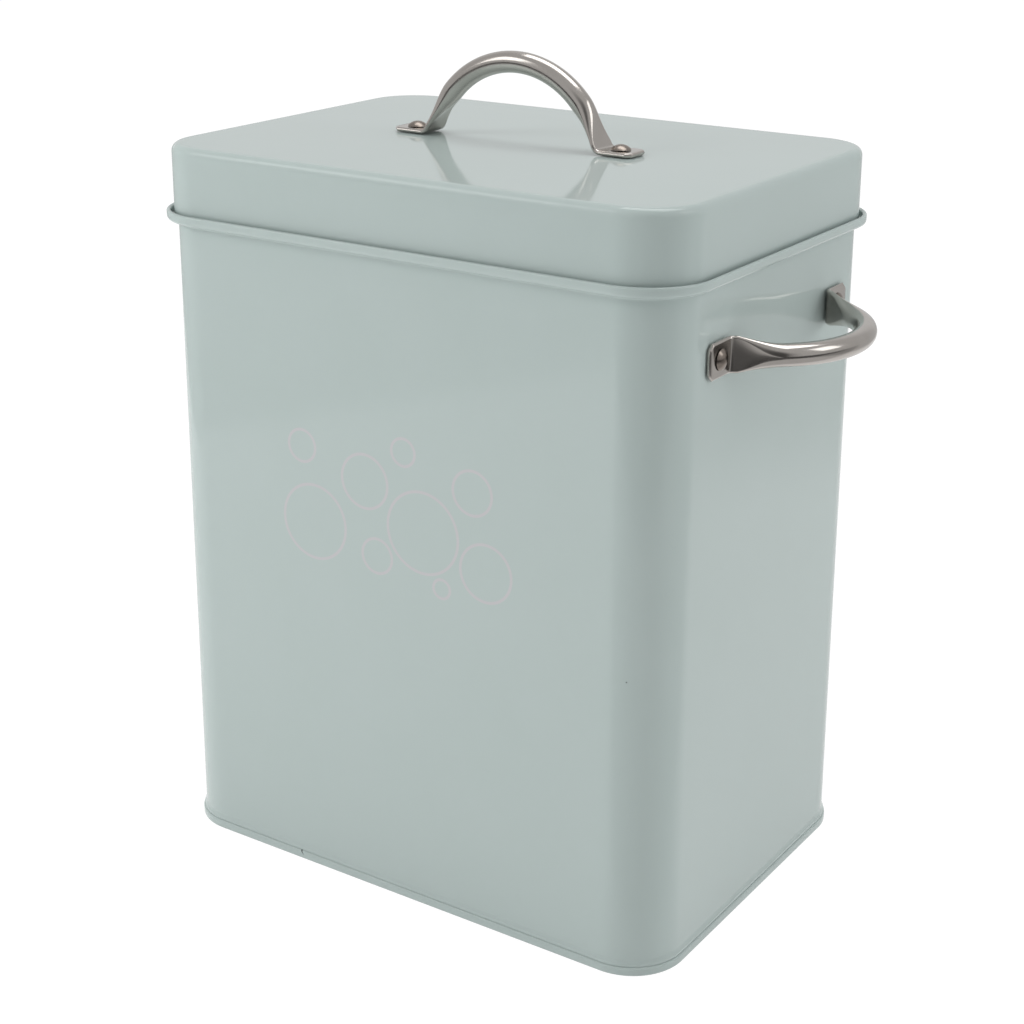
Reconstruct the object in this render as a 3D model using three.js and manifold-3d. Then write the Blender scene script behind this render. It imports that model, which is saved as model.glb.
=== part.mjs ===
// Laundry powder container: a tinplate box with round corners, a slip lid and three tube handles.
// Millimetres, +Z up. X runs along the long side, the front faces -Y, and the origin lies on the
// floor under the middle of the box.
import * as THREE from 'three';
import { ParametricGeometry } from 'three/addons/geometries/ParametricGeometry.js';
import { mergeVertices } from 'three/addons/utils/BufferGeometryUtils.js';
import Module from 'manifold-3d';

// Box, measured over its flat walls
const BODY_WIDTH = 214;
const BODY_DEPTH = 151;
const CORNER_RADIUS = 20;
const SHEET = 0.8;            // tinplate with its enamel
const SEAT_GAP = 0.3;         // between pieces that are seated on each other

// Open rim around the top of the shell
const RIM_HEIGHT = 246;       // top of the rolled edge above the floor
const RIM_PROJECTION = 4.2;   // beyond the wall
const RIM_EDGE = 1.6;         // thickness of the folded edge
const GUTTER_DEPTH = 3;       // from the rolled edge down to the gutter floor
const RIM_BEND = 1.6;         // radius of the two bends under the rim

// Foot of the shell, spread over the base seam
const FOOT_FLARE = 0.7;
const FOOT_FLARE_HEIGHT = 1.2;

// Base with its rolled seam band
const SEAM_PROJECTION = 1.2;
const SEAM_HEIGHT = 3.3;
const SEAM_ROUND = 0.7;
const BASE_RECESS = 3.4;      // height of the panel over the floor
const BASE_UPSTAND = 4;       // above the seam band, inside the shell

// Lid
const LID_HEIGHT = 26.7;
const LID_EDGE_RADIUS = 3;
const LID_HEM = 5;
const GUTTER_PLAY = 1.2;      // between the skirt and the rolled edge

// Neck collar inside the lid
const NECK_HEIGHT = 19;       // above the gutter floor
const NECK_LAP = 14;          // below it, inside the shell
const NECK_PLAY = 0.5;        // between the collar and the hem of the lid
const NECK_CURL = 1.1;        // radius of the curled top edge

// Lock seam down the back of the shell
const LOCK_WIDTH = 7;
const LOCK_THICKNESS = 0.9;
const LOCK_GROOVE_WIDTH = 0.9;
const LOCK_GROOVE_DEPTH = 0.3;

// Tube handles, one pattern for the lid and both sides
const HANDLE_SPAN = 88;       // between the rivets
const HANDLE_RISE = 29;       // middle of the tube over the panel, at the crown
const LEG_LEAN = 61;          // degrees from the panel
const TUBE_DIAMETER = 7.8;
const CRUSH_LENGTH = 16;      // of leg over which the round tube turns flat
const TAB_WIDTH = 12.7;
const TAB_THICKNESS = 1.6;
const TAB_OVERHANG = 7;       // from the rivet to the end of the tab
const TAB_CHAMFER = 2;
const FOOT_ROOM = 5.4;        // from the rivet to the foot bend
const FOOT_BEND = 2.8;        // radius at the middle of the crushed tube
const SIDE_HANDLE_DROP = 29;  // from the rolled edge down to the side handles

// Rivets
const RIVET_SHANK = 3.6;
const RIVET_HEAD = 7.4;
const RIVET_HEAD_HEIGHT = 1.7;
const RIVET_TAIL = 6;
const RIVET_TAIL_HEIGHT = 1.2;

// Fineness of the faceted surfaces
const CORNER_STEPS = 6;
const ARC_FINENESS = 2;       // two chords for each
const TUBE_SIDES = 16;        // a multiple of four
const ROUND_SIDES = 20;

const enamel = { color: 0xb3c2bf, roughness: 0.28, metalness: 0 };
const satinSteel = { color: 0xb8b2ac, roughness: 0.32, metalness: 1 };
const rivetSteel = { color: 0xaaa39c, roughness: 0.35, metalness: 1 };

const wasm = await Module();
wasm.setup();

// Welds a surface into one closed skin that faces outwards, without the triangles that collapsed.
function weld(surface) {
  surface.deleteAttribute('normal');
  surface.deleteAttribute('uv');
  const skin = mergeVertices(surface, 1e-4);
  const corner = skin.attributes.position;
  const [a, b, c] = [new THREE.Vector3(), new THREE.Vector3(), new THREE.Vector3()];
  let kept = [];
  let volume = 0;
  for (let i = 0; i < skin.index.count; i += 3) {
    const face = [skin.index.getX(i), skin.index.getX(i + 1), skin.index.getX(i + 2)];
    if (new Set(face).size < 3) continue;
    [a, b, c].forEach((point, k) => point.fromBufferAttribute(corner, face[k]));
    volume += a.dot(b.cross(c));
    kept.push(face);
  }
  if (volume < 0) kept = kept.map(([p, q, r]) => [p, r, q]);
  skin.setIndex(kept.flat());
  return skin;
}

// Skins a row of sections, each a closed loop of as many points. A ring joins the last to the first.
function loft(sections, ring = false) {
  const steps = sections.length - (ring ? 0 : 1);
  const points = sections[0].length;
  const place = (u, v, target) => target.copy(
    sections[Math.round(u * steps) % sections.length][Math.round(v * points) % points]);
  return weld(new ParametricGeometry(place, steps, points));
}

function toSolid(geometry) {
  return new wasm.Manifold(new wasm.Mesh({
    numProp: 3,
    vertProperties: Float32Array.from(geometry.attributes.position.array),
    triVerts: Uint32Array.from(geometry.index.array),
  }));
}

function toGeometry(solid) {
  const { vertProperties, triVerts } = solid.getMesh();
  const geometry = new THREE.BufferGeometry();
  geometry.setAttribute('position', new THREE.BufferAttribute(vertProperties, 3));
  geometry.setIndex(new THREE.BufferAttribute(triVerts, 1));
  return geometry;
}

const cutFrom = (geometry, tools) => toGeometry(
  tools.reduce((solid, tool) => solid.subtract(toSolid(tool)), toSolid(geometry)));

// Loop around the box, a given offset outside its walls and at a given height.
function boxLoop(offset, height) {
  const loop = [];
  for (let quarter = 0; quarter < 4; quarter += 1) {
    const sideX = quarter === 0 || quarter === 3 ? 1 : -1;
    const sideY = quarter < 2 ? 1 : -1;
    for (let step = 0; step <= CORNER_STEPS; step += 1) {
      const angle = (quarter + step / CORNER_STEPS) * Math.PI / 2;
      loop.push(new THREE.Vector3(
        sideX * (BODY_WIDTH / 2 - CORNER_RADIUS) + (CORNER_RADIUS + offset) * Math.cos(angle),
        sideY * (BODY_DEPTH / 2 - CORNER_RADIUS) + (CORNER_RADIUS + offset) * Math.sin(angle),
        height));
    }
  }
  return loop;
}

// Carries a profile, drawn as offset from the wall against height, around the box.
// An open profile starts and ends in the middle of the box, which closes it as a plate.
function aroundBox(profile, plate = false) {
  const outline = profile.getPoints(ARC_FINENESS).filter(
    (point, i, all) => i === 0 || point.distanceTo(all[i - 1]) > 1e-4);
  if (!plate && outline[0].distanceTo(outline[outline.length - 1]) < 1e-4) outline.pop();
  const loops = outline.map((point) => boxLoop(point.x, point.y));
  if (plate) {
    const [first, last] = [outline[0], outline[outline.length - 1]];
    loops.unshift(loops[0].map(() => new THREE.Vector3(0, 0, first.y)));
    loops.push(loops[0].map(() => new THREE.Vector3(0, 0, last.y)));
  }
  return loft(loops, !plate);
}

// Quarter bend in a profile, from one angle to another about a centre.
const bend = (path, x, y, radius, from, to) => path.absarc(
  x, y, radius, from * Math.PI / 180, to * Math.PI / 180, to < from);

const gutterFloor = RIM_HEIGHT - GUTTER_DEPTH;
const gutterWall = RIM_PROJECTION - RIM_EDGE;
const lidFace = gutterWall - GUTTER_PLAY;
const lidFoot = gutterFloor + SEAT_GAP;
const lidTop = lidFoot + LID_HEIGHT;
const neckFace = lidFace - 2 * SHEET - NECK_PLAY;
const lapFace = -SHEET - SEAT_GAP;
const neckTop = gutterFloor + NECK_HEIGHT;

// Shell: wall, open rim with its folded edge, and flared foot
function shellGeometry() {
  const underRim = gutterFloor - SHEET;
  const footEdge = SEAM_HEIGHT + SEAT_GAP;
  const flareTop = footEdge + SHEET + FOOT_FLARE_HEIGHT;
  const profile = new THREE.Path();
  profile.moveTo(FOOT_FLARE - SHEET, footEdge);
  profile.lineTo(FOOT_FLARE - 0.2, footEdge);
  profile.lineTo(FOOT_FLARE, footEdge + 0.2);
  profile.lineTo(FOOT_FLARE, footEdge + SHEET);
  profile.lineTo(0, flareTop);
  profile.lineTo(0, underRim - RIM_BEND);
  bend(profile, RIM_BEND, underRim - RIM_BEND, RIM_BEND, 180, 90);
  bend(profile, RIM_PROJECTION - RIM_BEND, underRim + RIM_BEND, RIM_BEND, 270, 360);
  profile.lineTo(RIM_PROJECTION, RIM_HEIGHT - RIM_EDGE / 2);
  bend(profile, RIM_PROJECTION - RIM_EDGE / 2, RIM_HEIGHT - RIM_EDGE / 2, RIM_EDGE / 2, 0, 180);
  profile.lineTo(gutterWall, gutterFloor);
  profile.lineTo(RIM_BEND, gutterFloor);
  bend(profile, RIM_BEND, underRim - RIM_BEND, RIM_BEND + SHEET, 90, 180);
  profile.lineTo(-SHEET, flareTop);
  profile.lineTo(FOOT_FLARE - SHEET, footEdge + SHEET);
  profile.lineTo(FOOT_FLARE - SHEET, footEdge);

  // Lock seam: folded layers inside the back wall, and the fine groove where they turn in outside
  const lockFoot = SEAM_HEIGHT + BASE_UPSTAND + 1;
  const lockTop = gutterFloor - NECK_LAP - 1;
  const innerBack = BODY_DEPTH / 2 - SHEET;
  const strip = new THREE.Shape();
  const halfLock = LOCK_WIDTH / 2;
  strip.moveTo(-halfLock, innerBack + SHEET / 2);
  strip.lineTo(-halfLock, innerBack);
  strip.lineTo(-halfLock + LOCK_THICKNESS / 2, innerBack - LOCK_THICKNESS);
  strip.lineTo(halfLock - LOCK_THICKNESS / 2, innerBack - LOCK_THICKNESS);
  strip.lineTo(halfLock, innerBack);
  strip.lineTo(halfLock, innerBack + SHEET / 2);
  const layers = weld(new THREE.ExtrudeGeometry(
    strip, { depth: lockTop - lockFoot, bevelEnabled: false }).translate(0, 0, lockFoot));
  const groove = weld(new THREE.BoxGeometry(
    LOCK_GROOVE_WIDTH, 2 * LOCK_GROOVE_DEPTH, underRim - RIM_BEND - flareTop)
    .translate(halfLock, BODY_DEPTH / 2, (underRim - RIM_BEND + flareTop) / 2));
  const wall = toSolid(aroundBox(profile)).add(toSolid(layers)).subtract(toSolid(groove));
  return toGeometry(wall);
}

// Base: recessed panel, upstand inside the shell and seam band outside it
function baseGeometry() {
  const inner = lapFace - SHEET;
  const panelTop = BASE_RECESS + SHEET;
  const upstandTop = SEAM_HEIGHT + BASE_UPSTAND;
  const profile = new THREE.Path();
  profile.moveTo(inner - 2 * SHEET, BASE_RECESS);
  bend(profile, inner - 2 * SHEET, BASE_RECESS - SHEET, SHEET, 90, 0);
  profile.lineTo(inner - SHEET, SEAM_ROUND);
  bend(profile, inner - SHEET + SEAM_ROUND, SEAM_ROUND, SEAM_ROUND, 180, 270);
  bend(profile, SEAM_PROJECTION - SEAM_ROUND, SEAM_ROUND, SEAM_ROUND, 270, 360);
  bend(profile, SEAM_PROJECTION - SEAM_ROUND, SEAM_HEIGHT - SEAM_ROUND, SEAM_ROUND, 0, 90);
  profile.lineTo(lapFace, SEAM_HEIGHT);
  profile.lineTo(lapFace, upstandTop - 0.2);
  profile.lineTo(lapFace - 0.2, upstandTop);
  profile.lineTo(inner, upstandTop);
  profile.lineTo(inner, panelTop + SHEET);
  bend(profile, inner - SHEET, panelTop + SHEET, SHEET, 360, 270);
  return aroundBox(profile, true);
}

// Neck collar: lap inside the shell, a joggle out over the rim and a curled top edge
function neckGeometry() {
  const curl = NECK_CURL;
  const inner = neckFace - SHEET;
  const profile = new THREE.Path();
  profile.moveTo(lapFace, gutterFloor - NECK_LAP);
  profile.lineTo(lapFace, gutterFloor + SEAT_GAP);
  profile.lineTo(neckFace, gutterFloor + SEAT_GAP + SHEET);
  profile.lineTo(neckFace, neckTop - curl);
  bend(profile, neckFace - curl, neckTop - curl, curl, 0, 180);
  bend(profile, neckFace - curl, neckTop - curl, curl, 180, 285);
  profile.lineTo(inner, neckTop - 2 * curl - 0.2);
  profile.lineTo(inner, gutterFloor + SEAT_GAP + SHEET);
  profile.lineTo(lapFace - SHEET, gutterFloor + SEAT_GAP);
  profile.lineTo(lapFace - SHEET, gutterFloor - NECK_LAP);
  profile.lineTo(lapFace, gutterFloor - NECK_LAP);
  return aroundBox(profile);
}

// Lid: top panel, drawn edge and skirt with the hem folded inwards
function lidGeometry() {
  const inner = lidFace - SHEET;
  const hemFace = inner - SHEET;
  const edge = LID_EDGE_RADIUS;
  const profile = new THREE.Path();
  profile.moveTo(lidFace - edge, lidTop);
  bend(profile, lidFace - edge, lidTop - edge, edge, 90, 0);
  profile.lineTo(lidFace, lidFoot + SHEET);
  bend(profile, lidFace - SHEET, lidFoot + SHEET, SHEET, 0, -180);
  profile.lineTo(hemFace, lidFoot + LID_HEM);
  profile.lineTo(inner, lidFoot + LID_HEM + 0.3);
  profile.lineTo(inner, lidTop - edge);
  bend(profile, lidFace - edge, lidTop - edge, edge - SHEET, 0, 90);
  return aroundBox(profile, true);
}

// Middle line of a handle: tab, foot bend, leg, crown, and the same again mirrored. The panel is at
// y = 0. The crown is the arc that touches both legs at the stated rise.
function handlePath() {
  const tabMiddle = SEAT_GAP + TAB_THICKNESS / 2;
  const lean = THREE.MathUtils.degToRad(LEG_LEAN);
  const bendX = HANDLE_SPAN / 2 - FOOT_ROOM;
  const bendY = tabMiddle + FOOT_BEND;
  const crown = (bendX * Math.sin(lean) - (HANDLE_RISE - bendY) * Math.cos(lean) - FOOT_BEND)
    / (1 - Math.cos(lean));
  const end = HANDLE_SPAN / 2 + TAB_OVERHANG;
  const upright = Math.PI / 2;
  const path = new THREE.Path();
  path.moveTo(-end, tabMiddle);
  path.lineTo(-bendX, tabMiddle);
  path.absarc(-bendX, bendY, FOOT_BEND, -upright, lean - upright, false);
  path.absarc(0, HANDLE_RISE - crown, crown, upright + lean, upright - lean, true);
  path.absarc(bendX, bendY, FOOT_BEND, -upright - lean, -upright, false);
  path.lineTo(end, tabMiddle);
  return { path, flatLength: end - bendX + FOOT_BEND * lean };
}

// Section of a tube pressed between two flats: an oval cut off above and below. Roundness 0 is the
// tab, with its flats nearly as wide as itself, and 1 is the round tube, where they have run out.
function pressedSection(width, thickness, roundness) {
  const flatStart = THREE.MathUtils.degToRad(THREE.MathUtils.lerp(28, 76, roundness));
  const oval = thickness / 2 / THREE.MathUtils.lerp(Math.sin(flatStart), 1, roundness);
  const limit = thickness / 2;
  const angles = [];
  const quarter = TUBE_SIDES / 4;
  [0, Math.PI].forEach((turn) => {
    for (let i = 0; i < quarter; i += 1) angles.push(turn + flatStart * (2 * i / quarter - 1));
    for (let i = 0; i < quarter; i += 1) {
      angles.push(turn + flatStart + (Math.PI - 2 * flatStart) * i / quarter);
    }
  });
  return angles.map((angle) => new THREE.Vector2(
    width / 2 * Math.cos(angle), THREE.MathUtils.clamp(oval * Math.sin(angle), -limit, limit)));
}

function handleGeometry() {
  const { path, flatLength } = handlePath();
  const length = path.getLength();
  const end = HANDLE_SPAN / 2 + TAB_OVERHANG;
  const foot = flatLength + 1;
  const stops = [0, TAB_CHAMFER];
  const bendLength = FOOT_BEND * THREE.MathUtils.degToRad(LEG_LEAN);
  for (let i = 4; i >= 0; i -= 1) stops.push(flatLength - bendLength * i / 4);
  for (let i = 1; i <= 6; i += 1) stops.push(foot + CRUSH_LENGTH * i / 6);
  const arch = length / 2 - foot - CRUSH_LENGTH;
  for (let i = 1; i <= 4; i += 1) stops.push(foot + CRUSH_LENGTH + arch * i / 4);
  const along = [...stops, ...stops.slice(0, -1).reverse().map((stop) => length - stop)];
  const sections = along.map((stop) => {
    const reach = Math.min(stop, length - stop);
    const round = THREE.MathUtils.smoothstep(reach, foot, foot + CRUSH_LENGTH);
    const chamfer = 2 * Math.max(0, TAB_CHAMFER - reach);
    const thickness = THREE.MathUtils.lerp(TAB_THICKNESS, TUBE_DIAMETER, round);
    const width = THREE.MathUtils.lerp(TAB_WIDTH, TUBE_DIAMETER, Math.sqrt(round)) - chamfer;
    const middle = path.getPointAt(stop / length);
    const ahead = path.getTangentAt(stop / length);
    return pressedSection(width, thickness, round).map(({ x, y }) => new THREE.Vector3(
      middle.x - ahead.y * y, x, middle.y + ahead.x * y));
  });
  const cap = (x) => sections[0].map(() => new THREE.Vector3(x, 0, path.getPointAt(0).y));
  const bar = loft([cap(-end), ...sections, cap(end)]);
  const holes = [-1, 1].map((side) => weld(new THREE.CylinderGeometry(
    RIVET_SHANK / 2 + SEAT_GAP, RIVET_SHANK / 2 + SEAT_GAP, 6 * TAB_THICKNESS, ROUND_SIDES)
    .rotateX(Math.PI / 2).translate(side * HANDLE_SPAN / 2, 0, 0)));
  return cutFrom(bar, holes);
}

// Rivet: domed head over the tab, shank through tab and sheet, flat formed tail inside
function rivetGeometry() {
  const headSeat = 2 * SEAT_GAP + TAB_THICKNESS;
  const tailSeat = -SHEET - SEAT_GAP;
  const headRadius = RIVET_HEAD / 2;
  const domeRadius = (headRadius ** 2 + RIVET_HEAD_HEIGHT ** 2) / (2 * RIVET_HEAD_HEIGHT);
  const domeCentre = headSeat + RIVET_HEAD_HEIGHT - domeRadius;
  const outline = [new THREE.Vector2(0, tailSeat - RIVET_TAIL_HEIGHT)];
  outline.push(new THREE.Vector2(0.7 * RIVET_TAIL / 2, tailSeat - RIVET_TAIL_HEIGHT));
  outline.push(new THREE.Vector2(RIVET_TAIL / 2, tailSeat - 0.5 * RIVET_TAIL_HEIGHT));
  outline.push(new THREE.Vector2(RIVET_TAIL / 2, tailSeat));
  outline.push(new THREE.Vector2(RIVET_SHANK / 2, tailSeat));
  outline.push(new THREE.Vector2(RIVET_SHANK / 2, headSeat));
  const rim = Math.asin(headRadius / domeRadius);
  for (let i = 0; i <= 4; i += 1) {
    const angle = rim * (1 - i / 4);
    outline.push(new THREE.Vector2(
      i === 4 ? 0 : domeRadius * Math.sin(angle), domeCentre + domeRadius * Math.cos(angle)));
  }
  return weld(new THREE.LatheGeometry(outline, ROUND_SIDES).rotateX(Math.PI / 2));
}

const rivetHole = () => new THREE.CylinderGeometry(
  RIVET_SHANK / 2 + SEAT_GAP, RIVET_SHANK / 2 + SEAT_GAP, 8 * SHEET, ROUND_SIDES);

const handleHeight = RIM_HEIGHT - SIDE_HANDLE_DROP;
const sideHoles = [-1, 1].flatMap((side) => [-1, 1].map((end) => weld(rivetHole()
  .rotateZ(Math.PI / 2).translate(side * BODY_WIDTH / 2, end * HANDLE_SPAN / 2, handleHeight))));
const lidHoles = [-1, 1].map((end) => weld(rivetHole()
  .rotateX(Math.PI / 2).translate(end * HANDLE_SPAN / 2, 0, lidTop)));

function addMesh(parent, name, geometry, look) {
  const mesh = new THREE.Mesh(geometry, new THREE.MeshStandardMaterial(look));
  mesh.name = name;
  parent.add(mesh);
  return mesh;
}

// A handle with its two rivets, standing on a panel at z = 0
function handleSet(name) {
  const set = new THREE.Group();
  addMesh(set, name, handleGeometry(), satinSteel);
  ['a', 'b'].forEach((mark, i) => {
    const rivet = addMesh(set, `${name}_rivet_${mark}`, rivetGeometry(), rivetSteel);
    rivet.position.x = (i - 0.5) * HANDLE_SPAN;
  });
  return set;
}

const container = new THREE.Group();
addMesh(container, 'body_shell', cutFrom(shellGeometry(), sideHoles), enamel);
addMesh(container, 'base', baseGeometry(), enamel);
addMesh(container, 'neck_collar', neckGeometry(), enamel);

const rightHandle = handleSet('side_handle_right');

// Side handles lie level: their span runs along Y and they stand out along X
[['side_handle_right', 1], ['side_handle_left', -1]].forEach(([name, side]) => {
  const handle = handleSet(name);
  handle.quaternion.setFromRotationMatrix(new THREE.Matrix4().makeBasis(
    new THREE.Vector3(0, side, 0), new THREE.Vector3(0, 0, 1), new THREE.Vector3(side, 0, 0)));
  handle.position.set(side * BODY_WIDTH / 2, 0, handleHeight);
  container.add(handle);
});

const lid = new THREE.Group();
addMesh(lid, 'lid', cutFrom(lidGeometry(), lidHoles), enamel);
const lidHandle = handleSet('lid_handle');
lidHandle.position.z = lidTop;
lid.add(lidHandle);
container.add(lid);

export default container;
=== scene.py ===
import math

import bpy
import numpy as np
from mathutils import Matrix, Vector


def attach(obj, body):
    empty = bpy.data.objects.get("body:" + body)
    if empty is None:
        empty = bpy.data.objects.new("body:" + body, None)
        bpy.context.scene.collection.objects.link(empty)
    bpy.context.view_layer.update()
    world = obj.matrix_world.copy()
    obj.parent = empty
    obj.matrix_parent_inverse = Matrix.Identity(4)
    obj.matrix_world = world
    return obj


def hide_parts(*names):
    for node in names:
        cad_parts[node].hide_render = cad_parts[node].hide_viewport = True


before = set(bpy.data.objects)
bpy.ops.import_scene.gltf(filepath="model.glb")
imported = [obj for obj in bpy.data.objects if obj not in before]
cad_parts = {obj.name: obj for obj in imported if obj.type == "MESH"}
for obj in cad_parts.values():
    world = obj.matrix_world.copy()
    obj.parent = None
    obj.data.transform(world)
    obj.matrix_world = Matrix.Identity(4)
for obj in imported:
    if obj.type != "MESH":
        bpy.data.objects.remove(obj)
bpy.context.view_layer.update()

mm = 0.001

# the rounded box that every sheet-metal piece follows, in millimetres
box = {
    "width": 214.0,            # over the flat walls
    "depth": 151.0,
    "cornerRadius": 20.0,
    "sheet": 0.8,
    "seatGap": 0.3,            # between seated pieces
    "cornerSteps": 24,
    "cornerSupport": 0.8,      # extra column beside each corner, keeps the flat walls flat in shading
    "foldStep": 11.0,          # degrees between the points of a fold
    "foldSupport": 0.35,       # extra point beside each fold, does the same for the sheet
    "longStretch": 1.5,        # stretches over this get the extra points
}
# heights of what stands on the table
levels = {"rimTop": 246.0, "gutterFloor": 243.0, "lidFoot": 243.3, "lidTop": 270.0, "neckTop": 262.0}


def makeObject(name, verts, quads, tris, smoothAngle):
    # verts in mm. The volume inside is the sum of a . (b x c) / 6 over the triangles; where it comes out
    # negative, every face is turned round, so faces point outwards
    corners = np.concatenate([quads[:, [0, 1, 2]], quads[:, [0, 2, 3]], tris])
    a, b, c = (verts[corners[:, k]] for k in range(3))
    if np.einsum("ij,ij->i", a, np.cross(b, c)).sum() < 0:
        quads, tris = quads[:, ::-1], tris[:, ::-1]
    mesh = bpy.data.meshes.new(name)
    mesh.from_pydata((verts * mm).tolist(), [], quads.tolist() + tris.tolist())
    mesh.validate()
    mesh.polygons.foreach_set("use_smooth", np.ones(len(mesh.polygons), bool))
    mesh.set_sharp_from_angle(angle=math.radians(smoothAngle))
    mesh.update()
    obj = bpy.data.objects.new(name, mesh)
    bpy.context.scene.collection.objects.link(obj)
    return obj


def gridFaces(rows, cols, wrapRows):
    # quads between neighbouring rows and columns; columns always close on themselves
    r = np.arange(rows if wrapRows else rows - 1)[:, None]
    c = np.arange(cols)[None, :]
    r2, c2 = (r + 1) % rows, (c + 1) % cols
    return np.stack([r * cols + c, r * cols + c2, r2 * cols + c2, r2 * cols + c], -1).reshape(-1, 4)


def skin(name, grid, wrapRows=False, poles=None, smoothAngle=38.0):
    # grid[row, column] of points; poles are the two middle points that close the first and last row with fans
    rows, cols = grid.shape[:2]
    verts = grid.reshape(-1, 3)
    quads = gridFaces(rows, cols, wrapRows)
    tris = np.empty((0, 3), int)
    if poles is not None:
        c = np.arange(cols)
        c2 = (c + 1) % cols
        last = (rows - 1) * cols
        firstPole, lastPole = len(verts), len(verts) + 1
        verts = np.concatenate([verts, np.array(poles, float)])
        tris = np.concatenate([np.stack([np.full(cols, firstPole), c2, c], -1),
                               np.stack([np.full(cols, lastPole), last + c, last + c2], -1)])
    return makeObject(name, verts, quads, tris, smoothAngle)


def trace(*steps):
    # a profile in (offset from the wall, height): points, and folds as (centre x, centre y, radius, from, to)
    # in degrees, where point = centre + radius (cos, sin). Long stretches get a support point near both ends
    parts = []
    for step in steps:
        if len(step) == 2:
            parts.append(np.array([step], float))
        else:
            x, y, radius, a, b = step
            turn = np.radians(np.linspace(a, b, 2 + int(abs(b - a) / box["foldStep"])))
            parts.append(np.stack([x + radius * np.cos(turn), y + radius * np.sin(turn)], 1))
    points = np.concatenate(parts)
    apart = np.linalg.norm(np.diff(points, axis=0), axis=1)
    points = points[np.r_[True, apart > 1e-4]]
    run = np.diff(points, axis=0)
    span = np.linalg.norm(run, axis=1)
    ease = np.minimum(box["foldSupport"], span / 3)[:, None] / np.maximum(span, 1e-9)[:, None]
    near, far = points[:-1] + run * ease, points[1:] - run * ease
    wide = span > box["longStretch"]
    after = np.nonzero(wide)[0]
    order = np.concatenate([np.arange(len(points)), after + 0.3, after + 0.6])
    return np.concatenate([points, near[wide], far[wide]])[np.argsort(order, kind="stable")]


def boxColumns(extraBack=()):
    # columns round the box: the middle each one swings about, and its outward direction (cos, sin) of an
    # angle. A corner turns about its own centre, a side only moves along; extraBack are x on the back wall
    halfX = box["width"] / 2 - box["cornerRadius"]
    halfY = box["depth"] / 2 - box["cornerRadius"]
    mids, outs = [], []
    for quarter, (sx, sy) in enumerate(((1, 1), (-1, 1), (-1, -1), (1, -1))):
        angle = np.radians(90) * (quarter + np.linspace(0, 1, box["cornerSteps"] + 1))
        direction = np.stack([np.cos(angle), np.sin(angle)], 1)
        centre = np.array([sx * halfX, sy * halfY])
        along = np.stack([-direction[:, 1], direction[:, 0]], 1) * box["cornerSupport"]
        mids += [centre - along[:1], np.repeat(centre[None], len(angle), 0), centre + along[-1:]]
        outs += [direction[:1], direction, direction[-1:]]
        if quarter == 0 and len(extraBack):
            x = np.sort(np.array(extraBack))[::-1]
            mids.append(np.stack([x, np.full(len(x), sy * halfY)], 1))
            outs.append(np.repeat([[0.0, 1.0]], len(x), 0))
    return np.concatenate(mids), np.concatenate(outs)


def aroundBox(profile, columns):
    # point = middle of the column + (corner radius + offset) x its outward direction, at the profile's height
    mids, outs = columns
    reach = box["cornerRadius"] + profile[:, None, 0:1]
    flat = mids[None] + outs[None] * reach
    height = np.repeat(profile[:, None, 1:2], len(mids), 1)
    return np.concatenate([flat, height], -1)


def linear(hexColour):
    # sRGB to linear: value / 12.92 near black, ((value + 0.055) / 1.055) ^ 2.4 above
    value = np.array([int(hexColour[i:i + 2], 16) for i in (1, 3, 5)]) / 255
    return tuple(np.where(value <= 0.04045, value / 12.92, ((value + 0.055) / 1.055) ** 2.4)) + (1.0,)


def addNode(tree, kind, settings=None, **links):
    # one node with its settings. Links name an input, or i and its number, and what feeds it, which is a
    # socket or a value
    node = tree.nodes.new(kind)
    for key, value in (settings or {}).items():
        setattr(node, key, value)
    for key, value in links.items():
        key = key.replace("_", " ")
        socket = node.inputs[int(key[1:])] if key[0] == "i" and key[1:].isdigit() else node.inputs[key]
        if isinstance(value, bpy.types.NodeSocket):
            tree.links.new(value, socket)
        else:
            socket.default_value = value
    return node


def newMaterial(name):
    # an empty node tree to build a finish in
    material = bpy.data.materials.new(name)
    material.use_nodes = True
    material.node_tree.nodes.clear()
    return material, material.node_tree


enamelLook = {
    "colour": "#b3bfbd",
    "deepColour": "#b0bdba",   # where the sprayed coat lies a little thicker
    "cloudSize": 35.0,         # mm between thicker and thinner places
    "roughness": 0.07,
    "peelSize": 2.6,           # mm between the dimples of the flowed enamel
    "peelDepth": 0.0022,       # mm
    "waveSize": 60.0,          # mm between the swells of the thin sheet
    "waveDepth": 0.07,         # mm
}
# a plain pattern of soap bubbles on the front: mm to the right of the middle, mm up, radius
bubblePrint = {
    "colour": "#bebdbf",
    "stroke": 1.2,
    "strokeFade": 0.15,
    "frontPlane": 75.3,        # only what lies further forward than this is printed
    "rings": [(-36, 140, 14), (-13, 160, 10), (-8, 133, 6.5), (12, 146, 15), (33, 165, 8), (38.5, 137, 10.5),
              (-41, 168, 6), (4, 174, 5), (20, 127, 3.5)],
}
# a nick in the foot seam, and a speck near the corner:
# centre, half sizes, tilt in degrees, colour, depth, with lengths in mm
seamMarks = [((-46.5, -76.7, 3.2), (0.35, 3.0, 2.3), -38, "#5d6362", 0.15)]
wallMarks = [((94.0, -73.5, 111.0), (0.35, 4.0, 0.35), 0, "#6b7271", 0.05)]


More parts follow.
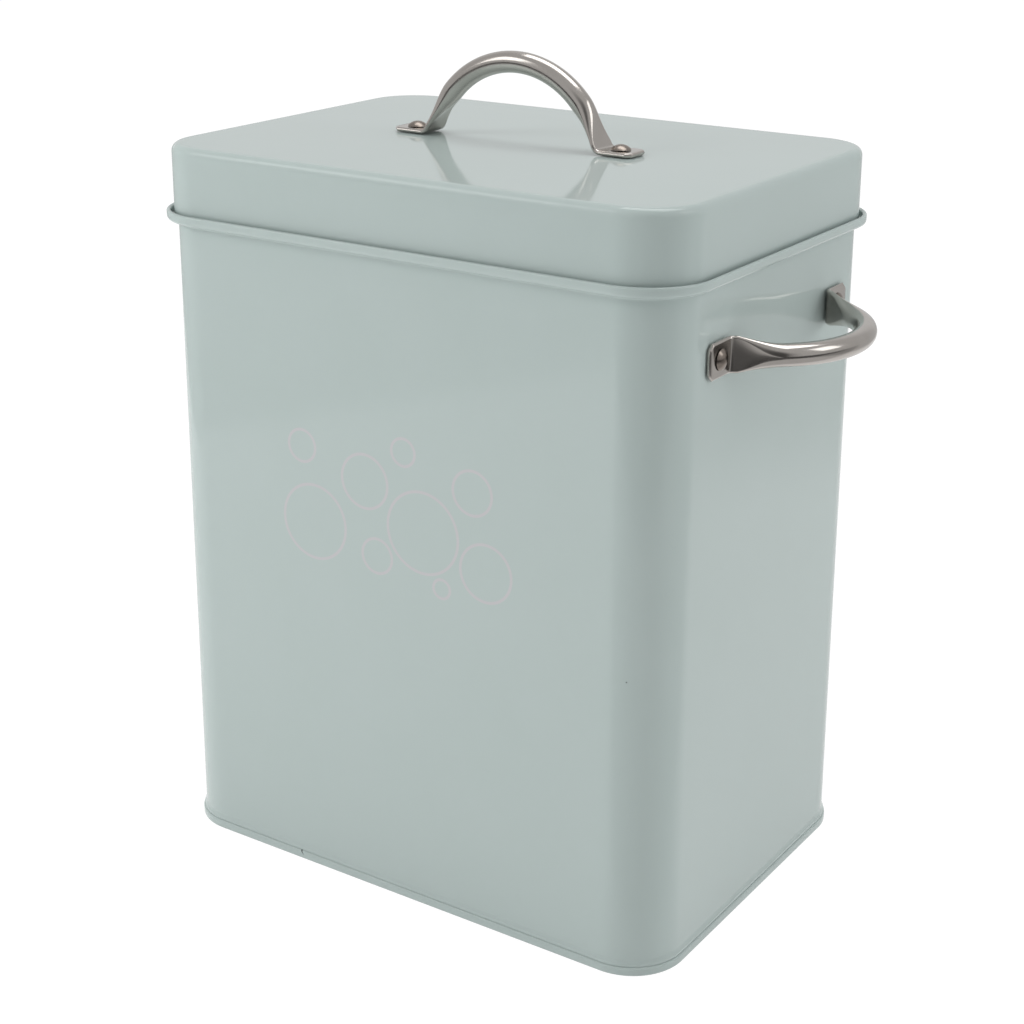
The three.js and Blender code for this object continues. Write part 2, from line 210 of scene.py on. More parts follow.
def markMask(tree, place, centre, radii, tilt):
    # 1 inside an ellipsoid tilted in the front plane, fading to 0 over the outer half of its radius
    local = addNode(tree, "ShaderNodeMapping", {"vector_type": "TEXTURE"}, Vector=place,
                    Location=tuple(v * mm for v in centre), Rotation=(0, math.radians(tilt), 0),
                    Scale=tuple(v * mm for v in radii))
    far = addNode(tree, "ShaderNodeVectorMath", {"operation": "LENGTH"}, i0=local.outputs["Vector"])
    return addNode(tree, "ShaderNodeMapRange", Value=far.outputs["Value"], From_Min=1.0, From_Max=0.5,
                   To_Min=0.0, To_Max=1.0).outputs["Result"]


def ringMask(tree, place, x, z, radius, ink):
    # 1 on a thin ring in the front plane: |distance from its centre - radius| against half the stroke
    local = addNode(tree, "ShaderNodeMapping", {"vector_type": "TEXTURE"}, Vector=place,
                    Location=(x * mm, 0, z * mm), Scale=(mm, 1.0, mm))
    flat = addNode(tree, "ShaderNodeVectorMath", {"operation": "MULTIPLY"},
                   i0=local.outputs["Vector"], i1=(1.0, 0.0, 1.0))
    far = addNode(tree, "ShaderNodeVectorMath", {"operation": "LENGTH"}, i0=flat.outputs["Vector"])
    off = addNode(tree, "ShaderNodeMath", {"operation": "SUBTRACT"}, i0=far.outputs["Value"],
                  i1=float(radius))
    away = addNode(tree, "ShaderNodeMath", {"operation": "ABSOLUTE"}, i0=off.outputs[0])
    half = ink["stroke"] / 2
    return addNode(tree, "ShaderNodeMapRange", Value=away.outputs[0], From_Min=half,
                   From_Max=half - ink["strokeFade"], To_Min=0.0, To_Max=1.0).outputs["Result"]


def printMask(tree, place, ink):
    # the largest of all the ring masks, kept to the front wall
    total = 0.0
    for x, z, radius in ink["rings"]:
        ring = ringMask(tree, place, x, z, radius, ink)
        total = addNode(tree, "ShaderNodeMath", {"operation": "MAXIMUM"}, i0=ring, i1=total).outputs[0]
    depth = addNode(tree, "ShaderNodeSeparateXYZ", Vector=place).outputs["Y"]
    front = addNode(tree, "ShaderNodeMath", {"operation": "LESS_THAN"}, i0=depth, i1=-ink["frontPlane"] * mm)
    return addNode(tree, "ShaderNodeMath", {"operation": "MULTIPLY"}, i0=total,
                   i1=front.outputs[0]).outputs[0]


def stovedEnamel(name, look, ink=None, marks=()):
    # stoved enamel, sprayed on tinplate and baked: opaque and glossy, with a faint orange peel in its
    # reflections and the slow swells of the thin sheet under it. A print is thin ink under the gloss;
    # marks are chips and specks, dark to the eye and a little sunk
    material, tree = newMaterial(name)
    place = addNode(tree, "ShaderNodeTexCoord").outputs["Object"]
    cloud = addNode(tree, "ShaderNodeTexNoise", Vector=place, Scale=1 / (look["cloudSize"] * mm), Detail=3.0,
                    Roughness=0.5)
    tint = addNode(tree, "ShaderNodeMix", {"data_type": "RGBA"}, i0=cloud.outputs["Fac"],
                   i6=linear(look["colour"]), i7=linear(look["deepColour"])).outputs[2]
    if ink:
        tint = addNode(tree, "ShaderNodeMix", {"data_type": "RGBA"}, i0=printMask(tree, place, ink), i6=tint,
                       i7=linear(ink["colour"])).outputs[2]
    swell = addNode(tree, "ShaderNodeTexNoise", Vector=place, Scale=1 / (look["waveSize"] * mm), Detail=1.0)
    peel = addNode(tree, "ShaderNodeTexNoise", Vector=place, Scale=1 / (look["peelSize"] * mm), Detail=1.0)
    normal = addNode(tree, "ShaderNodeBump", Height=swell.outputs["Fac"], Strength=1.0,
                     Distance=look["waveDepth"] * mm).outputs["Normal"]
    normal = addNode(tree, "ShaderNodeBump", Height=peel.outputs["Fac"], Strength=1.0,
                     Distance=look["peelDepth"] * mm, Normal=normal).outputs["Normal"]
    for centre, radii, tilt, colour, sunk in marks:
        mask = markMask(tree, place, centre, radii, tilt)
        tint = addNode(tree, "ShaderNodeMix", {"data_type": "RGBA"}, i0=mask, i6=tint,
                       i7=linear(colour)).outputs[2]
        normal = addNode(tree, "ShaderNodeBump", {"invert": True}, Height=mask, Strength=1.0,
                         Distance=sunk * mm, Normal=normal).outputs["Normal"]
    shader = addNode(tree, "ShaderNodeBsdfPrincipled", Base_Color=tint,
                     Roughness=look["roughness"], IOR=1.5, Normal=normal)
    addNode(tree, "ShaderNodeOutputMaterial", Surface=shader.outputs["BSDF"])
    return material


steelLook = {
    "colour": "#cdc8c3",
    "dullColour": "#b7b1ab",
    "smearSize": 14.0,         # mm between brighter and duller places
    "roughness": 0.14,
    "roughnessSpread": 0.07,
    "grain": 0.9,              # mm between the lines left by the belt; real ones are finer and wouldn't show
    "grainStretch": 0.12,      # share of that rate along x and z; the full rate is along y
    "grainDepth": 0.0012,      # mm
}
rivetLook = dict(steelLook, colour="#a89e96", dullColour="#7f766e", roughness=0.22)


def satinStainless(name, look):
    # stainless steel, belt-polished to a satin: warm grey, fine lines that stretch its highlights, and
    # handled places that shine a little less
    material, tree = newMaterial(name)
    place = addNode(tree, "ShaderNodeTexCoord").outputs["Object"]
    across = 1 / (look["grain"] * mm)
    along = across * look["grainStretch"]
    lines = addNode(tree, "ShaderNodeMapping", Vector=place, Scale=(along, across, along))
    belt = addNode(tree, "ShaderNodeTexNoise", Vector=lines.outputs["Vector"], Scale=1.0, Detail=2.0)
    smear = addNode(tree, "ShaderNodeTexNoise", Vector=place, Scale=1 / (look["smearSize"] * mm), Detail=2.0)
    tint = addNode(tree, "ShaderNodeMix", {"data_type": "RGBA"}, i0=smear.outputs["Fac"],
                   i6=linear(look["colour"]), i7=linear(look["dullColour"]))
    rough = addNode(tree, "ShaderNodeMapRange", Value=smear.outputs["Fac"], From_Min=0.3, From_Max=0.7,
                    To_Min=look["roughness"], To_Max=look["roughness"] + look["roughnessSpread"])
    bump = addNode(tree, "ShaderNodeBump", Height=belt.outputs["Fac"], Strength=1.0,
                   Distance=look["grainDepth"] * mm)
    shader = addNode(tree, "ShaderNodeBsdfPrincipled", Base_Color=tint.outputs[2], Metallic=1.0,
                     Roughness=rough.outputs["Result"], Normal=bump.outputs["Normal"])
    addNode(tree, "ShaderNodeOutputMaterial", Surface=shader.outputs["BSDF"])
    return material


enamel = stovedEnamel("stovedEnamelDuckEgg", enamelLook)
wallEnamel = stovedEnamel("stovedEnamelWithPrint", enamelLook, bubblePrint, wallMarks)
seamEnamel = stovedEnamel("stovedEnamelOnSeam", enamelLook, None, seamMarks)
satinSteel = satinStainless("satinStainlessTube", steelLook)
rivetSteel = satinStainless("satinSteelRivet", rivetLook)
print("materials ready")


def finishPiece(obj, material, body, node):
    # the piece stands for a CAD node, moves with its body and takes the finish it is given
    obj.data.materials.append(material)
    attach(obj, body)
    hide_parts(node)


shell = {
    "rimProjection": 4.2,
    "rimEdge": 1.6,            # thickness of the folded edge
    "rimBend": 1.6,
    "footFlare": 0.7,
    "footFlareHeight": 1.2,
    "footLip": 0.25,           # roundings of the cut edge at the foot
    "footSoft": 0.2,
    "seamHeight": 3.3,
    "lockWidth": 7.0,          # folded seam on the inside of the back wall
    "lockThickness": 0.9,
    "grooveWidth": 0.9,        # its fine line outside
    "grooveDepth": 0.3,
    "lockFoot": 8.3,
    "lockTop": 228.0,
}


def shellProfile():
    # outside: flared foot, wall, rim turned out and up to its folded edge; inside: gutter, wall, foot
    s, t, gutter = shell, box["sheet"], levels["gutterFloor"]
    underRim = gutter - t
    footEdge = s["seamHeight"] + box["seatGap"]
    flareTop = footEdge + t + s["footFlareHeight"]
    flare, lip, soft, edge = s["footFlare"], s["footLip"], s["footSoft"], s["rimEdge"]
    out, bend, lockFoot, lockTop = s["rimProjection"], s["rimBend"], s["lockFoot"], s["lockTop"]
    return trace(
        (flare - t, footEdge), (flare - lip, footEdge, lip, 270, 360),
        (flare - soft, footEdge + t, soft, 0, 35),
        (0.03, flareTop - 0.1), (0, flareTop + 0.2), (0, lockFoot), (0, lockTop),
        (bend, underRim - bend, bend, 180, 90), (out - bend, underRim + bend, bend, 270, 360),
        (out - edge / 2, levels["rimTop"] - edge / 2, edge / 2, 0, 180),
        (out - edge, gutter + 0.3), (out - edge - 0.3, gutter), (bend, underRim - bend, bend + t, 90, 180),
        (-t, lockTop + 0.4), (-t, lockTop), (-t, lockFoot), (-t, lockFoot - 0.4),
        (-t, flareTop), (flare - t, footEdge + t), (flare - t, footEdge + 0.1))


def shellSkin():
    # the profile round the box, then the lock seam about x = 0 on the back wall. Groove outside, at the seam's
    # edge x = half: depth (1 - ((x - half) / half the groove's width)^2). Fold inside: a flat-topped ridge
    s, t = shell, box["sheet"]
    profile = shellProfile()
    half = s["lockWidth"] / 2
    groove = half + np.array([-2 / 3, -0.5, -0.25 / 0.9, 0, 0.25 / 0.9, 0.5, 2 / 3]) * s["grooveWidth"]
    ridge = np.array([-half, -half + 0.2, -half + 0.5, -half + 0.8, 0,
                      half - 0.8, half - 0.5, half - 0.2, half])
    columns = boxColumns(np.unique(np.round(np.concatenate([groove, ridge]), 3)))
    grid = aroundBox(profile, columns)
    back = (columns[1][:, 1] > 0.999)[None]
    x, z = grid[..., 0], grid[..., 2]
    dip = np.clip(1 - ((x - half) / (s["grooveWidth"] / 2)) ** 2, 0, 1) * s["grooveDepth"]
    fold = np.clip((half - np.abs(x)) / (s["lockThickness"] / 2), 0, 1) * s["lockThickness"]
    outer = np.abs(profile[:, 0:1]) < 1e-6
    inner = np.abs(profile[:, 0:1] + t) < 1e-6
    inSeam = (z >= s["lockFoot"] - 0.01) & (z <= s["lockTop"] + 0.01)
    grid[..., 1] -= np.where(back & outer, dip, 0)
    grid[..., 1] -= np.where(back & inner & inSeam, fold, 0)
    return skin("shellSkin", grid, wrapRows=True)


finishPiece(shellSkin(), wallEnamel, "container", "body_shell")
print("shell ready")

base = {
    "seamProjection": 1.2,
    "seamRound": 0.7,
    "recess": 3.4,             # the panel stands this far above the table
    "upstand": 4.0,            # over the seam, inside the shell
    "edgeRound": 0.2,
    "panelMargin": 6.0,        # ring between the fold and the fan that closes the panel
}


def baseSkin():
    # underside of the panel, rolled seam, upstand inside the shell, top of the panel; fans close both panels
    b, t = base, box["sheet"]
    lap = -t - box["seatGap"]
    inner, r, out, high = lap - t, b["seamRound"], b["seamProjection"], shell["seamHeight"]
    panelTop, top, e, margin = b["recess"] + t, high + b["upstand"], b["edgeRound"], b["panelMargin"]
    profile = trace(
        (inner - 2 * t - margin, b["recess"]), (inner - 2 * t, b["recess"] - t, t, 90, 0),
        (inner - t + r, r, r, 180, 270), (out - r, r, r, 270, 360), (out - r, high - r, r, 0, 90),
        (lap, high), (lap - e, top - e, e, 0, 90), (inner + e, top - e, e, 90, 180),
        (inner - t, panelTop + t, t, 360, 270), (inner - t - margin, panelTop))
    return skin("baseSkin", aroundBox(profile, boxColumns()), poles=[(0, 0, b["recess"]), (0, 0, panelTop)])


finishPiece(baseSkin(), seamEnamel, "container", "base")

neck = {
    "lap": 14.0,               # held inside the shell
    "play": 0.5,               # to the lid
    "curl": 1.1,               # radius of its rolled top
    "gutterPlay": 1.2,         # from the lid to the edge of the rim
}


def neckSkin():
    # lap inside the shell, step out over the gutter, wall up to the curl, and back down the inside
    t, gap, c = box["sheet"], box["seatGap"], neck["curl"]
    foot, top = levels["gutterFloor"], levels["neckTop"]
    face = shell["rimProjection"] - shell["rimEdge"] - neck["gutterPlay"] - 2 * t - neck["play"]
    lap = -t - gap
    profile = trace(
        (lap, foot - neck["lap"]), (lap, foot + gap), (face, foot + gap + t),
        (face - c, top - c, c, 0, 285), (face - t, top - 2 * c - 0.2),
        (face - t, foot + gap + t), (lap - t, foot + gap), (lap - t, foot - neck["lap"]))
    return skin("neckSkin", aroundBox(profile, boxColumns()), wrapRows=True)


finishPiece(neckSkin(), enamel, "container", "neck_collar")
print("base and neck ready")

lidForm = {
    "edgeRadius": 3.0,
    "hem": 5.0,                # folded in at the foot of the skirt
    "topMargin": 8.0,          # ring between the edge and the fan that closes the top
}


def lidSkin():
    # top, rounded edge, skirt, hem folded in and up, inside of the skirt and of the top; fans close both tops
    t, r, hem, margin = box["sheet"], lidForm["edgeRadius"], lidForm["hem"], lidForm["topMargin"]
    face = shell["rimProjection"] - shell["rimEdge"] - neck["gutterPlay"]
    foot, top, inner = levels["lidFoot"], levels["lidTop"], face - t
    profile = trace(
        (face - r - margin, top), (face - r, top - r, r, 90, 0), (face - t, foot + t, t, 0, -180),
        (inner - t, foot + hem), (inner, foot + hem + 0.3),
        (face - r, top - r, r - t, 0, 90), (face - r - margin, top - t))
    return skin("lidSkin", aroundBox(profile, boxColumns()), poles=[(0, 0, top), (0, 0, top - t)])


finishPiece(lidSkin(), enamel, "lid", "lid")
print("lid ready")

handle = {
    "span": 88.0,              # between the rivets
    "rise": 29.0,              # middle of the tube over the panel, at the crown
    "legLean": 61.0,           # degrees from the panel
    "tube": 7.8,
    "crush": 16.0,             # leg over which the round tube turns flat
    "tabWidth": 12.7,
    "tabThickness": 1.6,
    "tabOverhang": 7.0,
    "tabChamfer": 2.0,
    "footRoom": 5.4,           # from the rivet to the foot bend
    "footBend": 2.8,
    "ridgeAngle": 28.0,        # degrees up the oval where a flat cuts it, on the tab
    "ridgeClose": 48.0,        # how far that angle grows towards the round tube
    "dish": 0.30,              # mm that the pressed flats sink between their ridges
    "sidePoints": 15,
    "flatPoints": 13,
}


def handleStations(tab, flat, half):
    # distances from one end where the tube gets a ring: close at the tab's cut end, the bend and the crush
    chamfer = handle["tabChamfer"]
    s = np.concatenate([
        [0, 0.12, 0.4, chamfer - 0.15, chamfer, chamfer + 0.15],
        np.linspace(chamfer + 0.8, tab - 0.3, 8), np.linspace(tab, flat, 12),
        flat + np.linspace(0.25, handle["crush"] + 1, 34), np.linspace(flat + handle["crush"] + 2, half, 16)])
    return np.unique(np.concatenate([s, 2 * half - s]))


def handlePath():
    # middle line by distance from the nearer end: tab, foot bend (an arc that turns up by the lean), straight
    # leg, and the crown arc that touches both legs, whose radius follows from span, rise, lean and foot room
    h = handle
    lean = math.radians(h["legLean"])
    sine, cosine, bend = math.sin(lean), math.cos(lean), h["footBend"]
    mid = box["seatGap"] + h["tabThickness"] / 2
    bendX, bendZ = h["span"] / 2 - h["footRoom"], mid + bend
    crown = (bendX * sine - (h["rise"] - bendZ) * cosine - bend) / (1 - cosine)
    tab = h["footRoom"] + h["tabOverhang"]
    flat = tab + bend * lean
    leg = (bendX - (bend + crown) * sine) / cosine
    half = flat + leg + crown * lean
    s = handleStations(tab, flat, half)
    reach = np.minimum(s, 2 * half - s)
    # angle the line has turned away from the panel: up through the foot bend, back down over the crown
    turned = np.clip((reach - tab) / bend, 0, lean) - np.clip((reach - flat - leg) / crown, 0, lean)
    along = np.clip(reach - flat, 0, leg)
    stretches = [reach > flat + leg, reach > flat]
    x = np.select(stretches, [crown * np.sin(turned), bendX - bend * sine - along * cosine],
                  bendX + np.clip(tab - reach, 0, None) - bend * np.sin(turned))
    z = np.select(stretches, [h["rise"] - crown + crown * np.cos(turned),
                              bendZ - bend * cosine + along * sine], bendZ - bend * np.cos(turned))
    return reach, np.where(s <= half, -1.0, 1.0), x, z, turned, flat


def pressedSection(reach, flat):
    # a tube pressed between two flats: an oval cut off above and below at the ridges, which close up and run
    # out towards the round tube. across = width/2 cos(angle), over = oval sin(angle) cut at half thickness
    h = handle
    k = np.clip((reach - flat - 1) / h["crush"], 0, 1)
    roundness = k * k * (3 - 2 * k)
    thick = h["tabThickness"] + (h["tube"] - h["tabThickness"]) * roundness
    thick = thick * (1 - 0.35 * np.clip(1 - reach / 0.4, 0, 1) ** 2)     # the cut end is rounded off
    wide = h["tabWidth"] + (h["tube"] - h["tabWidth"]) * np.sqrt(roundness)
    wide = wide - 2 * np.maximum(0, h["tabChamfer"] - reach)
    level = np.sin(np.radians(h["ridgeAngle"] + h["ridgeClose"] * roundness))
    level = level + (1 - level) * roundness
    ridge = np.arcsin(np.minimum(level, math.sin(math.radians(86))))[:, None]
    side = np.linspace(-1, 1, h["sidePoints"])
    top = np.linspace(-1, 1, h["flatPoints"] + 2)[1:-1]
    # points crowd towards the ridges
    side, top = np.sin(side * math.pi / 2) * 0.35 + side * 0.65, np.sin(top * math.pi / 2)
    quarter = math.pi / 2
    angle = np.concatenate([ridge * side, quarter + (quarter - ridge) * top, math.pi + ridge * side,
                            3 * quarter + (quarter - ridge) * top], 1)
    half = thick[:, None] / 2
    across = wide[:, None] / 2 * np.cos(angle)
    over = np.clip(half / level[:, None] * np.sin(angle), -half, half)
    # the pressed flats are sunk: depth = dish (1 - (across / ridge half-width)^2)
    ridgeAcross = np.maximum(wide[:, None] / 2 * np.cos(ridge), 1e-6)
    sunk = h["dish"] * np.clip((reach - flat + 4) / 5, 0, 1) * (1 - roundness)
    hollow = np.clip(1 - (across / ridgeAcross) ** 2, 0, 1)
    return across, over - np.sign(over) * sunk[:, None] * hollow * (np.abs(over) > 0.9 * half)


def handleGrid():
    # point = middle line + over x the line's normal, and across over the width
    reach, side, x, z, turned, flat = handlePath()
    across, over = pressedSection(reach, flat)
    x, z, nx, nz = (v[:, None] for v in (x, z, np.sin(turned), np.cos(turned)))
    grid = np.stack([side[:, None] * (x + nx * over), across, z + nz * over], -1)
    end, mid = handle["span"] / 2 + handle["tabOverhang"], box["seatGap"] + handle["tabThickness"] / 2
    return grid, np.array([(-end, 0, mid), (end, 0, mid)])


rivet = {
    "head": 7.4,
    "headHeight": 1.7,
    "shank": 3.6,
    "tail": 6.0,
    "tailHeight": 1.2,
    "sides": 40,
}


def rivetGrid():
    # a turned shape: formed tail inside the sheet, shank, flat seat of the head, and the head's dome, whose
    # radius = ((head/2)^2 + height^2) / (2 height)
    r, t, gap = rivet, box["sheet"], box["seatGap"]
    seat, tailSeat = 2 * gap + handle["tabThickness"], -t - gap
    tailEnd = tailSeat - r["tailHeight"]
    dome = ((r["head"] / 2) ** 2 + r["headHeight"] ** 2) / (2 * r["headHeight"])
    turn = np.linspace(math.asin(r["head"] / 2 / dome), 0.03, 12)
    half = r["tail"] / 2
    profile = np.concatenate([
        [(0.3, tailEnd), (0.7 * half, tailEnd), (0.93 * half, tailSeat - 0.8 * r["tailHeight"]),
         (half, tailSeat - 0.4 * r["tailHeight"]), (half, tailSeat), (r["shank"] / 2, tailSeat),
         (r["shank"] / 2, seat), (r["head"] / 2 - 0.1, seat)],
        np.stack([dome * np.sin(turn), seat + r["headHeight"] - dome + dome * np.cos(turn)], 1)])
    a = np.linspace(0, 2 * math.pi, r["sides"], endpoint=False)
    grid = np.stack([profile[:, :1] * np.cos(a), profile[:, :1] * np.sin(a),
                     np.repeat(profile[:, 1:], len(a), 1)], -1)
    return grid, np.array([(0, 0, tailEnd), (0, 0, seat + r["headHeight"])])


def ontoPanel(points, axes, foot):
    # point in the frame = foot + span x first axis + width x second + height x third
    return points @ np.array(axes, float) + np.array(foot, float)


# each handle stands on a panel: where its span, its width and its height point, then its foot and its body
sideHandleDrop = 29.0          # mm from the rim down to the side handles
sideWall, sideHeight = box["width"] / 2, levels["rimTop"] - sideHandleDrop
panels = {
    "lid_handle": ([(1, 0, 0), (0, 1, 0), (0, 0, 1)], (0, 0, levels["lidTop"]), "lid"),
    "side_handle_right": ([(0, 1, 0), (0, 0, 1), (1, 0, 0)], (sideWall, 0, sideHeight), "container"),
    "side_handle_left": ([(0, -1, 0), (0, 0, 1), (-1, 0, 0)], (-sideWall, 0, sideHeight), "container"),
}
for node, (axes, foot, body) in panels.items():
    grid, poles = handleGrid()
    tube = skin(node + "_tube", ontoPanel(grid, axes, foot), poles=ontoPanel(poles, axes, foot),
                smoothAngle=50)
    finishPiece(tube, satinSteel, body, node)
    for mark, side in (("a", -0.5), ("b", 0.5)):
        grid, poles = rivetGrid()
        aside = np.array([side * handle["span"], 0, 0])
        head = skin(node + "_rivetHead_" + mark, ontoPanel(grid + aside, axes, foot),
                    poles=ontoPanel(poles + aside, axes, foot))
        finishPiece(head, rivetSteel, body, node + "_rivet_" + mark)
print("handles and rivets ready")

studio = {
    "floorSize": 80.0,         # metres
    "floorWhite": 0.95,
    "cameraShare": 0.86,       # how much of the floor is plain white to the eye, the rest shows the shadow
    "cameraGlow": 1.10,
    "tableGlow": 0.88,         # what the gloss mirrors of the table
    # edges of what is mirrored: lines (bearing, metres out where the fade starts and ends), share left beyond
    "tableEdges": [
        ([(33.7, 0.45, 0.62)], 0.20),
        ([(-61.3, 0.585, 0.60)], 0.50),
        ([(120.0, 0.42, 0.58)], 0.62),
        ([(65.0, 0.115, 0.15), (46.0, 0.12, 0.17)], 0.62),
    ],
    "ambient": 0.54,
    "darkSide": (33.7, 14.0),  # bearing and elevation of the unlit end of the room
    "darkInner": 8.0,          # degrees about it that are darkest, and where the dark ends
    "darkOuter": 36.0,
    "darkDepth": 0.85,
    "backSide": (213.7, 17.0),     # bearing and elevation of the lit backdrop, which the lid mirrors
    "backInner": 20.0,
    "backOuter": 45.0,
    "backGlow": 0.13,
    # name, bearing from the front towards the right, elevation, metres, size, watts, mirrored in gloss.
    # What gloss mirrors hangs high: a lamp near the horizon would burn out the lid in a low view
    "lamps": [
        ("leftSoftbox", -43.0, 18.0, 1.62, (0.55, 1.4), 12.2, False),
        ("leftCard", -43.0, 40.0, 1.6, (0.55, 0.6), 1.9, True),
        ("rightSoftbox", 104.0, 9.0, 1.62, (0.55, 1.4), 6.7, False),
        ("rightCard", 104.0, 40.0, 1.6, (0.55, 0.6), 1.65, True),
        ("topSoftbox", 180.0, 78.7, 1.53, (1.1, 0.7), 6.2, True),
    ],
    "lampAim": (0, 0, 0.13),   # the middle of the container
}


def pointing(bearing, elevation):
    # unit vector for a bearing from the front towards the right and an elevation, in degrees
    turn, lift = math.radians(bearing), math.radians(elevation)
    return Vector((math.sin(turn) * math.cos(lift), -math.cos(turn) * math.cos(lift), math.sin(lift)))


def mirroredTable(tree):
    # the table near the object is bright, the room past its edges isn't: the glow is the table's times one
    # factor per edge, 1 - (1 - share beyond) x the product of the smoothsteps across the edge's lines
    place = addNode(tree, "ShaderNodeTexCoord").outputs["Object"]
    glow = studio["tableGlow"]
    for lines, beyond in studio["tableEdges"]:
        past = 1.0
        for bearing, near, far in lines:
            turn = math.radians(bearing)
            outwards = addNode(tree, "ShaderNodeVectorMath", {"operation": "DOT_PRODUCT"}, i0=place,
                               i1=(math.sin(turn), -math.cos(turn), 0.0))
            step = addNode(tree, "ShaderNodeMapRange", {"interpolation_type": "SMOOTHSTEP"},
                           Value=outwards.outputs["Value"], From_Min=near, From_Max=far)
            past = addNode(tree, "ShaderNodeMath", {"operation": "MULTIPLY"}, i0=step.outputs["Result"],
                           i1=past).outputs[0]
        factor = addNode(tree, "ShaderNodeMapRange", Value=past, To_Min=1.0, To_Max=beyond)
        glow = addNode(tree, "ShaderNodeMath", {"operation": "MULTIPLY"}, i0=factor.outputs["Result"],
                       i1=glow).outputs[0]
    return glow


def makeFloor():
    # pale paint that takes the shadow, mostly white to the eye, and a modelled table in what gloss mirrors
    half, grey = studio["floorSize"] / 2, studio["floorWhite"]
    mesh = bpy.data.meshes.new("floor")
    corners = [(-half, -half, 0), (half, -half, 0), (half, half, 0), (-half, half, 0)]
    mesh.from_pydata(corners, [], [(0, 1, 2, 3)])
    floor = bpy.data.objects.new("floor", mesh)
    bpy.context.scene.collection.objects.link(floor)
    material, tree = newMaterial("paleStudioFloor")
    path = addNode(tree, "ShaderNodeLightPath")
    paint = addNode(tree, "ShaderNodeBsdfDiffuse", Color=(grey, grey, grey, 1))
    toEye = addNode(tree, "ShaderNodeEmission", Color=(1, 1, 1, 1), Strength=studio["cameraGlow"])
    toGloss = addNode(tree, "ShaderNodeEmission", Color=(1, 1, 1, 1), Strength=mirroredTable(tree))
    share = addNode(tree, "ShaderNodeMath", {"operation": "MULTIPLY"}, i0=path.outputs["Is Camera Ray"],
                    i1=studio["cameraShare"])
    seen = addNode(tree, "ShaderNodeMixShader", i0=share.outputs[0], i1=paint.outputs[0], i2=toEye.outputs[0])
    mixed = addNode(tree, "ShaderNodeMixShader", i0=path.outputs["Is Glossy Ray"], i1=seen.outputs[0],
                    i2=toGloss.outputs[0])
    addNode(tree, "ShaderNodeOutputMaterial", Surface=mixed.outputs[0])
    mesh.materials.append(material)


def towards(tree, direction, side, outer, inner, low, high):
    # low away from one end of the room and high towards it: a smoothstep of the direction's dot product with
    # that end, between the cosines of the two angles
    along = addNode(tree, "ShaderNodeVectorMath", {"operation": "DOT_PRODUCT"}, i0=direction,
                    i1=pointing(*studio[side]))
    return addNode(tree, "ShaderNodeMapRange", {"interpolation_type": "SMOOTHSTEP"},
                   Value=along.outputs["Value"], From_Min=math.cos(math.radians(studio[outer])),
                   From_Max=math.cos(math.radians(studio[inner])), To_Min=low, To_Max=high).outputs["Result"]


def makeWorld():
    # soft light from all round, fading to the unlit end of the room and rising to the lit backdrop; the
    # camera sees plain white
    world = bpy.data.worlds.new("studio")
    bpy.context.scene.world = world
    world.use_nodes = True
    tree = world.node_tree
    tree.nodes.clear()
    direction = addNode(tree, "ShaderNodeTexCoord").outputs["Generated"]
    ambient = studio["ambient"]
    room = towards(tree, direction, "darkSide", "darkOuter", "darkInner", ambient,
                   ambient * (1 - studio["darkDepth"]))
    backdrop = towards(tree, direction, "backSide", "backOuter", "backInner", 0.0, studio["backGlow"])
    light = addNode(tree, "ShaderNodeMath", {"operation": "ADD"}, i0=room, i1=backdrop)
    path = addNode(tree, "ShaderNodeLightPath")
    soft = addNode(tree, "ShaderNodeBackground", Color=(1, 1, 1, 1), Strength=light.outputs[0])
    white = addNode(tree, "ShaderNodeBackground", Color=(1, 1, 1, 1), Strength=1.0)
    mixed = addNode(tree, "ShaderNodeMixShader", i0=path.outputs["Is Camera Ray"], i1=soft.outputs[0],
                    i2=white.outputs[0])
    addNode(tree, "ShaderNodeOutputWorld", Surface=mixed.outputs[0])


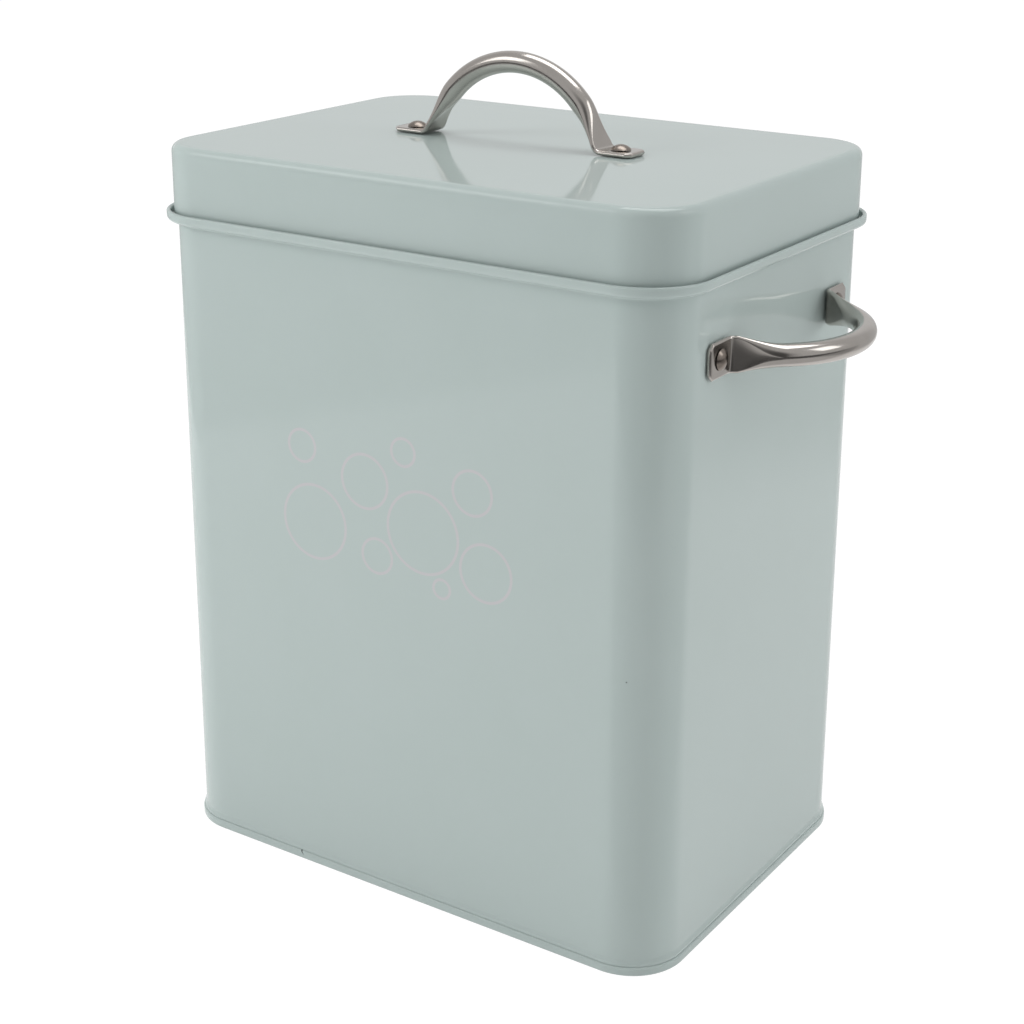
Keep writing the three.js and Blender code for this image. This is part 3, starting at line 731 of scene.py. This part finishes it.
def makeLamps():
    # soft boxes that look at the middle of the container and are themselves out of sight
    for name, bearing, elevation, away, size, watts, mirrored in studio["lamps"]:
        where = pointing(bearing, elevation) * away
        lamp = bpy.data.lights.new(name, "AREA")
        lamp.shape = "RECTANGLE"
        lamp.size, lamp.size_y = size
        lamp.energy = watts
        obj = bpy.data.objects.new(name, lamp)
        obj.location = where
        obj.rotation_euler = (Vector(studio["lampAim"]) - where).to_track_quat("-Z", "Y").to_euler()
        obj.visible_camera = False
        obj.visible_glossy = mirrored
        bpy.context.scene.collection.objects.link(obj)


view = {
    "azimuth": 33.735, "elevation": 17.448, "roll": 0.197,     # degrees
    "aimHeight": 135.0,                                        # mm up the middle of the container
    "distance": 743.73, "aimRight": -1.107, "aimUp": 35.932,   # mm from that point, back, right and up
    "focal": 1948.43 / 1024 * 36,                              # mm on a 36 mm sensor
    "shiftY": -(512 - 400) / 1024,                             # optical centre of the picture is at y = 400
}


def makeCamera():
    # right and up follow from the direction back to the camera; the roll turns them about it
    az, el, roll = (math.radians(view[k]) for k in ("azimuth", "elevation", "roll"))
    back = np.array([math.sin(az) * math.cos(el), -math.cos(az) * math.cos(el), math.sin(el)])
    right = np.cross(-back, [0, 0, 1.0])
    right /= np.linalg.norm(right)
    up = np.cross(right, -back)
    aim = np.array([0, 0, view["aimHeight"]])
    where = aim + view["aimRight"] * right + view["aimUp"] * up + back * view["distance"]
    turnedRight = math.cos(roll) * right + math.sin(roll) * up
    turnedUp = -math.sin(roll) * right + math.cos(roll) * up
    camera = bpy.data.cameras.new("camera")
    camera.lens, camera.sensor_width, camera.sensor_fit = view["focal"], 36, "HORIZONTAL"
    camera.shift_y = view["shiftY"]
    camera.clip_start, camera.clip_end = 0.01, 100
    obj = bpy.data.objects.new("camera", camera)
    axes = np.stack([turnedRight, turnedUp, back, where * mm], 1)
    obj.matrix_world = Matrix(axes.tolist() + [[0, 0, 0, 1]])
    bpy.context.scene.collection.objects.link(obj)
    bpy.context.scene.camera = obj


makeFloor()
makeWorld()
makeLamps()
makeCamera()
bpy.context.scene.view_settings.view_transform = "Standard"
print("studio ready")
